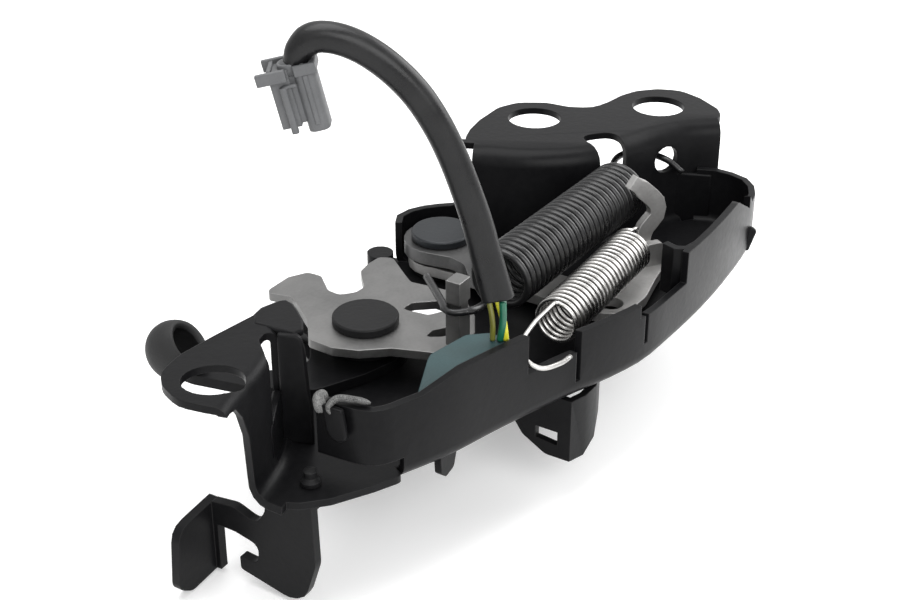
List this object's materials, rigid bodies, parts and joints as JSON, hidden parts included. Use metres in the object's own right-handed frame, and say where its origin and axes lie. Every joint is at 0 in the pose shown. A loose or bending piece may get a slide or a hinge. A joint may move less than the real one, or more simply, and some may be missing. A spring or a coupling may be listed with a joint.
{
  "type": "bonnet latch",
  "caption": "Bonnet latch: black pressed pan with bolt ears, open turning catch, sprung pawl and release arm, safety lever, cable bracket, bonnet switch and a short harness with connector.",
  "frame": {"origin": "point on the upper face of the left bolting ear", "axes": "+Z out of the ears towards the side that carries the mechanism, +X along the springs towards the two-hole ear, the striker enters along -Y"},
  "size_m": [0.2302, 0.1139, 0.1383],
  "materials": {
    "black_coat": "semi-gloss",
    "rivet_steel": "satin",
    "zinc_plate": "satin",
    "spring_black": "gloss",
    "spring_bright": "bright",
    "cap_rubber": "matte",
    "switch_teal": "matte",
    "plastic_black": "satin",
    "connector_grey": "matte",
    "wire_green": "satin",
    "wire_yellow": "satin",
    "wire_olive": "satin"
  },
  "bodies": {
    "frame": {"base_plate": "black_coat", "catch_rivet": "rivet_steel", "catch_spacer": "rivet_steel", "pawl_spacer_low": "rivet_steel", "cable_holder": "black_coat", "holder_rivet": "rivet_steel", "clip_bracket": "black_coat", "stop_clip": "zinc_plate", "switch_body": "switch_teal", "catch_spring": "spring_black", "pawl_spring": "spring_bright", "wire_green": "wire_green", "wire_yellow": "wire_yellow", "wire_olive": "wire_olive", "harness_sleeve": "plastic_black", "connector_housing": "connector_grey"},
    "catch_body": {"catch": "zinc_plate"},
    "pawl_body": {"pawl": "zinc_plate", "pawl_spacer_high": "rivet_steel", "pawl_arm": "zinc_plate", "pawl_rivet": "rivet_steel", "release_arm": "black_coat"},
    "safety_body": {"safety_lever": "black_coat", "lever_cap": "cap_rubber"},
    "plunger_body": {"switch_plunger": "plastic_black"}
  },
  "joints": [
    {"name": "catch_pivot", "type": "hinge", "parent": "frame", "child": "catch_body", "pos_m": [0.061, -0.003, -0.0245], "axis": [0, 0, 1], "range_deg": [-50, 0], "stiffness_Nm_per_rad": 0.2, "springref_deg": 51.57, "deforming": ["catch_spring"]},
    {"name": "pawl_pivot", "type": "hinge", "parent": "frame", "child": "pawl_body", "pos_m": [0.115, 0.007, -0.0245], "axis": [0, 0, 1], "range_deg": [-12, 3], "stiffness_Nm_per_rad": 0.15, "deforming": ["pawl_spring"]},
    {"name": "safety_pivot", "type": "hinge", "parent": "frame", "child": "safety_body", "pos_m": [0.061, -0.003, -0.0307], "axis": [0, 0, 1], "range_deg": [-22, 0], "stiffness_Nm_per_rad": 0.1},
    {"name": "plunger_slide", "type": "slide", "parent": "frame", "child": "plunger_body", "axis": [0, 1, 0], "range_m": [-0.0015, 0], "stiffness_N_per_m": 150, "springref_m": 0.004}
  ]
}
